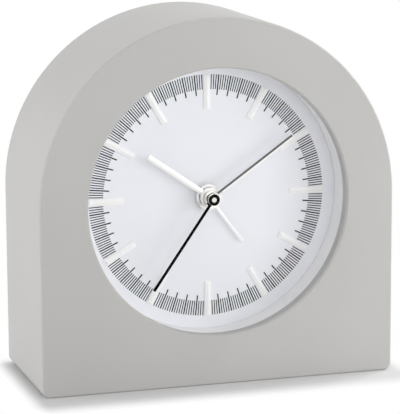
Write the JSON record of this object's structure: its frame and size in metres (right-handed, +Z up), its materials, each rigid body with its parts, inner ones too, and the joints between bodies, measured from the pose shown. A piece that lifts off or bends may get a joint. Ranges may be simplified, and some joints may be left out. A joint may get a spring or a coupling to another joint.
{
  "type": "alarm clock",
  "caption": "Table alarm clock in a round-topped case, with a deep white dial, bar markers, a geared quartz movement, setting knobs and a battery bay.",
  "frame": {"origin": "middle of the base, half-way through the depth", "axes": "+Z up, -Y out of the dial, +X to the right seen from the front"},
  "size_m": [0.105, 0.0444, 0.106],
  "materials": {
    "case_lacquer": "satin lacquer",
    "lens_glass": "clear",
    "surround_white": "satin",
    "dial_white": "matt white print",
    "polished_plate": "polished",
    "black_hand": "satin black",
    "gear_acetal": "moulded",
    "steel": "bright",
    "magnet": "sintered",
    "cover_black": "fine texture",
    "control_black": "satin",
    "housing_grey": "moulded",
    "board_green": "solder mask",
    "chip_black": "epoxy",
    "buzzer_black": "moulded",
    "copper_winding": "enamelled wire",
    "bobbin": "moulded",
    "nickel_contact": "nickel plated",
    "cell_sleeve": "printed sleeve"
  },
  "bodies": {
    "case": {"case_shell": "case_lacquer", "lens": "lens_glass", "dial_pan": "surround_white", "dial": "dial_white", "hour_markers": "polished_plate", "intermediate_pin": "steel", "movement_front": "housing_grey", "movement_middle": "housing_grey", "movement_rear": "housing_grey", "alarm_contact": "nickel_contact", "circuit_board": "board_green", "chip": "chip_black", "crystal": "steel", "buzzer": "buzzer_black", "stator": "steel", "coil_core": "steel", "coil_bobbin": "bobbin", "coil_winding": "copper_winding", "battery": "cell_sleeve", "positive_contact": "nickel_contact", "negative_contact": "nickel_contact", "cover_screws": "steel", "inner_screws": "steel", "housing_screws": "steel", "rear_cover": "cover_black"},
    "second_train": {"second_hand": "black_hand", "second_hand_bush": "polished_plate", "second_wheel": "gear_acetal"},
    "third_train": {"third_wheel": "gear_acetal"},
    "centre_train": {"centre_wheel": "gear_acetal"},
    "intermediate_train": {"intermediate_wheel": "gear_acetal"},
    "rotor": {"rotor_pinion": "gear_acetal", "rotor_magnet": "magnet"},
    "minute_train": {"minute_hand": "polished_plate", "minute_arbor": "gear_acetal"},
    "motion_train": {"motion_wheel": "gear_acetal"},
    "hour_train": {"hour_hand": "polished_plate", "hour_wheel": "gear_acetal"},
    "time_set": {"time_set_knob": "control_black", "time_set_shaft": "gear_acetal"},
    "alarm_train": {"alarm_hand": "polished_plate", "alarm_wheel": "gear_acetal"},
    "alarm_set": {"alarm_set_knob": "control_black", "alarm_set_shaft": "gear_acetal"},
    "alarm_switch": {"alarm_switch": "control_black"},
    "battery_door": {"battery_door": "cover_black"}
  },
  "joints": [
    {"name": "second_spin", "type": "hinge", "parent": "case", "child": "second_train", "pos_m": [0, 0, 0.0529], "axis": [0, 1, 0], "continuous": true},
    {"name": "third_spin", "type": "hinge", "parent": "case", "child": "third_train", "pos_m": [0, 0, 0.0427], "axis": [0, 1, 0], "continuous": true},
    {"name": "centre_spin", "type": "hinge", "parent": "case", "child": "centre_train", "pos_m": [0, 0, 0.0529], "axis": [0, 1, 0], "continuous": true},
    {"name": "intermediate_spin", "type": "hinge", "parent": "case", "child": "intermediate_train", "pos_m": [-0.00347, 0, 0.0589], "axis": [0, 1, 0], "continuous": true},
    {"name": "rotor_spin", "type": "hinge", "parent": "case", "child": "rotor", "pos_m": [-0.00905, 0, 0.06093], "axis": [0, 1, 0], "continuous": true},
    {"name": "minute_spin", "type": "hinge", "parent": "case", "child": "minute_train", "pos_m": [0, 0, 0.0529], "axis": [0, 1, 0], "continuous": true},
    {"name": "motion_spin", "type": "hinge", "parent": "case", "child": "motion_train", "pos_m": [0.0075, 0, 0.05889], "axis": [0, 1, 0], "continuous": true},
    {"name": "hour_spin", "type": "hinge", "parent": "case", "child": "hour_train", "pos_m": [0, 0, 0.0529], "axis": [0, 1, 0], "continuous": true},
    {"name": "time_set_spin", "type": "hinge", "parent": "case", "child": "time_set", "pos_m": [0.015, 0, 0.0529], "axis": [0, 1, 0], "continuous": true},
    {"name": "alarm_spin", "type": "hinge", "parent": "case", "child": "alarm_train", "pos_m": [0, 0, 0.0529], "axis": [0, 1, 0], "continuous": true},
    {"name": "alarm_set_spin", "type": "hinge", "parent": "case", "child": "alarm_set", "pos_m": [-0.015, 0, 0.0529], "axis": [0, 1, 0], "continuous": true},
    {"name": "alarm_switch_slide", "type": "slide", "parent": "case", "child": "alarm_switch", "axis": [1, 0, 0], "range_m": [0, 0.0035]},
    {"name": "battery_door_lift", "type": "slide", "parent": "case", "child": "battery_door", "axis": [0, 1, 0], "range_m": [0, 0.025]}
  ],
  "couplings": [
    {"joint": "third_spin", "follows": "second_spin", "ratio": -0.13333},
    {"joint": "centre_spin", "follows": "second_spin", "ratio": 0.016667},
    {"joint": "intermediate_spin", "follows": "second_spin", "ratio": -6},
    {"joint": "rotor_spin", "follows": "second_spin", "ratio": 30},
    {"joint": "motion_spin", "follows": "minute_spin", "ratio": -0.33333},
    {"joint": "hour_spin", "follows": "minute_spin", "ratio": 0.083333},
    {"joint": "time_set_spin", "follows": "minute_spin", "ratio": 1},
    {"joint": "alarm_set_spin", "follows": "alarm_spin", "ratio": -4}
  ]
}
